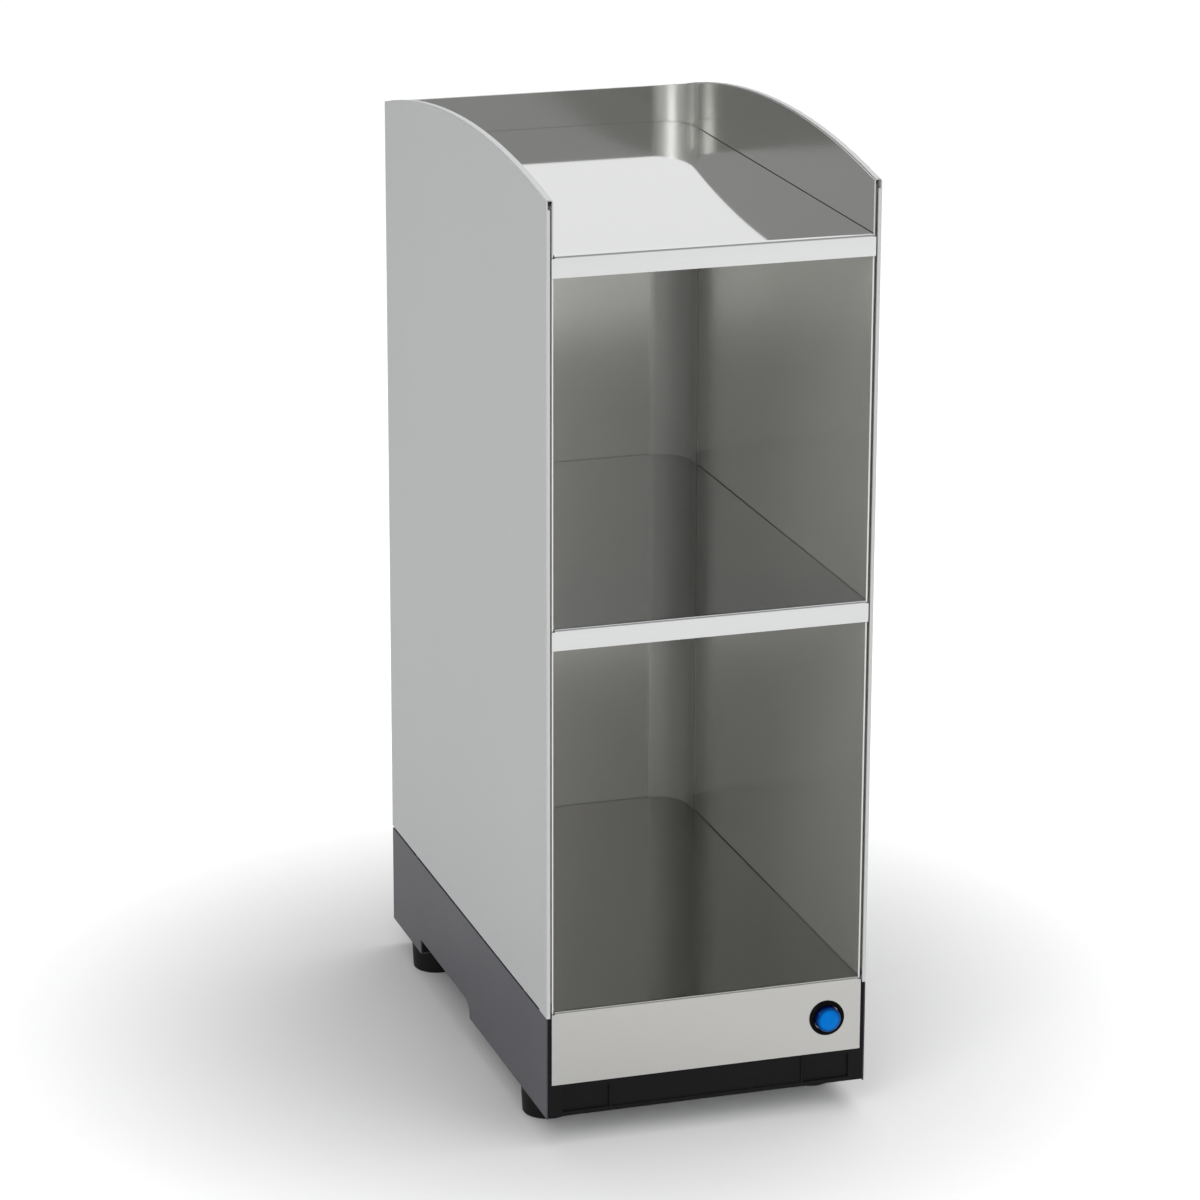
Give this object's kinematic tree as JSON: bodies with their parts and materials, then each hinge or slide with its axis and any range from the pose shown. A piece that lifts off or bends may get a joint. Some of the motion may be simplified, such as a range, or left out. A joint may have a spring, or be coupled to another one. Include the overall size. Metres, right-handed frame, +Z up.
{
  "type": "cup warmer",
  "caption": "Narrow upright cup warmer with arched side walls, heated steel shelves, an open top tray, a dark base on rubber feet and a round push-button",
  "frame": {"origin": "on the floor, under the middle of the object's bounding box", "axes": "+Z up, +X to the right as seen from the front, +Y to the back; the open front faces -Y"},
  "size_m": [0.23, 0.4034, 0.672],
  "materials": {
    "panel_paint": "satin light silver-grey powder coat",
    "skirt_paint": "satin anthracite powder coat",
    "base_plastic": "fine-grained black moulding",
    "polished_steel": "polished stainless with a fine grain",
    "brushed_steel": "brushed stainless",
    "zinc_steel": "zinc-plated steel",
    "rubber_black": "moulded black rubber",
    "heater_silicone": "red-brown silicone rubber",
    "insulation_felt": "needled mineral felt",
    "switch_black": "glossy black plastic",
    "button_blue": "translucent blue lens, lit",
    "ceramic_white": "white ceramic",
    "brass": "bare brass",
    "lead_sleeve": "silicone lead insulation"
  },
  "bodies": {
    "housing": {"base_frame": "base_plastic", "base_plate": "zinc_steel", "base_screws": "zinc_steel", "bottom_shelf": "polished_steel", "earth_lead": "lead_sleeve", "earth_stud": "brass", "foot_front_left": "rubber_black", "foot_front_right": "rubber_black", "foot_rear_left": "rubber_black", "foot_rear_right": "rubber_black", "foot_screws": "zinc_steel", "foot_washers": "zinc_steel", "inlet_contacts": "brass", "inlet_leads": "lead_sleeve", "inlet_screws": "zinc_steel", "inner_liner": "brushed_steel", "left_side_panel": "panel_paint", "left_skirt": "skirt_paint", "left_wall_insulation": "insulation_felt", "lower_heater_leads": "lead_sleeve", "lower_heater_mat": "heater_silicone", "lower_insulation_pad": "insulation_felt", "lower_thermal_fuse": "ceramic_white", "lower_thermostat": "ceramic_white", "lower_under_cover": "zinc_steel", "mains_inlet": "switch_black", "middle_heater_leads": "lead_sleeve", "middle_heater_mat": "heater_silicone", "middle_insulation_pad": "insulation_felt", "middle_shelf": "polished_steel", "middle_thermal_fuse": "ceramic_white", "middle_thermostat": "ceramic_white", "middle_under_cover": "zinc_steel", "rear_panel": "panel_paint", "rear_panel_screws": "zinc_steel", "rear_skirt": "skirt_paint", "rear_wall_insulation": "insulation_felt", "right_side_panel": "panel_paint", "right_skirt": "skirt_paint", "right_wall_insulation": "insulation_felt", "shelf_screws": "zinc_steel", "switch_bezel": "switch_black", "switch_body": "switch_black", "switch_leads": "lead_sleeve", "switch_nut": "switch_black", "switch_terminals": "brass", "terminal_block": "ceramic_white", "terminal_screws": "brass", "top_heater_leads": "lead_sleeve", "top_heater_mat": "heater_silicone", "top_insulation_pad": "insulation_felt", "top_thermal_fuse": "ceramic_white", "top_thermostat": "ceramic_white", "top_tray": "polished_steel", "top_under_cover": "zinc_steel"},
    "button": {"power_button": "button_blue"}
  },
  "joints": [
    {"name": "power_button_press", "type": "slide", "parent": "housing", "child": "button", "axis": [0, 1, 0], "range_m": [0, 0.003], "stiffness_N_per_m": 900}
  ]
}
